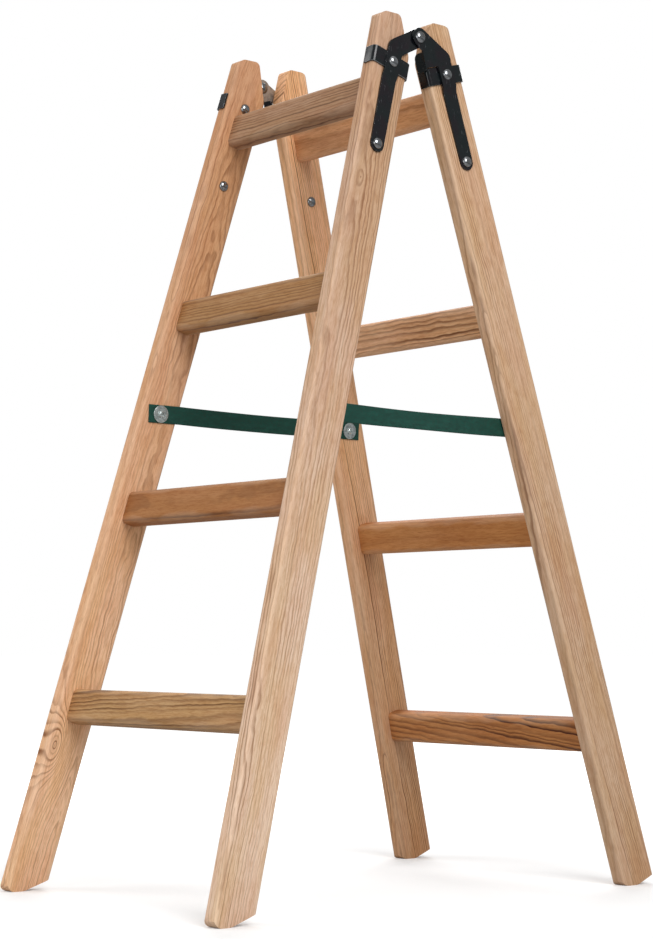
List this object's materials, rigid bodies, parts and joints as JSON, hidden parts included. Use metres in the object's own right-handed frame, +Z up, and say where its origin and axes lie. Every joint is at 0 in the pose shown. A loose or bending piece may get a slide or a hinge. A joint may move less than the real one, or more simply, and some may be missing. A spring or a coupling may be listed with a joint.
{
  "type": "trestle ladder",
  "caption": "Double-sided folding wooden trestle ladder: two tapered leaves of rungs, steel strap hinges at the top and webbing straps that stop the leaves spreading.",
  "frame": {"origin": "on the floor, under the middle of the open ladder", "axes": "+Z up, +Y along the rungs from the right-hand to the left-hand stiles, +X from the front leaf to the rear leaf"},
  "size_m": [0.7589, 0.4768, 1.158],
  "materials": {
    "stile_wood": "planed and oiled pine",
    "rung_wood": "planed and oiled pine",
    "black_steel": "gloss black enamel",
    "zinc_steel": "zinc plated",
    "webbing": "woven polypropylene"
  },
  "bodies": {
    "front_leaf": {"front_stile_right": "stile_wood", "front_hinge_plate_right": "black_steel", "front_band_right": "black_steel", "front_stile_left": "stile_wood", "front_hinge_plate_left": "black_steel", "front_band_left": "black_steel", "front_rung_1": "rung_wood", "front_rung_2": "rung_wood", "front_rung_3": "rung_wood", "front_rung_4": "rung_wood", "front_band_rivets": "zinc_steel", "front_strap_rivets": "zinc_steel", "front_washers": "zinc_steel", "front_screws": "zinc_steel", "hinge_pin_right": "zinc_steel", "webbing_right": "webbing", "hinge_pin_left": "zinc_steel", "webbing_left": "webbing"},
    "rear_leaf": {"rear_stile_right": "stile_wood", "rear_hinge_plate_right": "black_steel", "rear_band_right": "black_steel", "rear_stile_left": "stile_wood", "rear_hinge_plate_left": "black_steel", "rear_band_left": "black_steel", "rear_rung_1": "rung_wood", "rear_rung_2": "rung_wood", "rear_rung_3": "rung_wood", "rear_rung_4": "rung_wood", "rear_band_rivets": "zinc_steel", "rear_strap_rivets": "zinc_steel", "rear_washers": "zinc_steel", "rear_screws": "zinc_steel"}
  },
  "joints": [
    {"name": "leaf_fold", "type": "hinge", "parent": "front_leaf", "child": "rear_leaf", "pos_m": [0, 0, 1.131], "axis": [0, 1, 0], "range_deg": [0, 31.2], "deforming": ["webbing_right", "webbing_left"]}
  ]
}
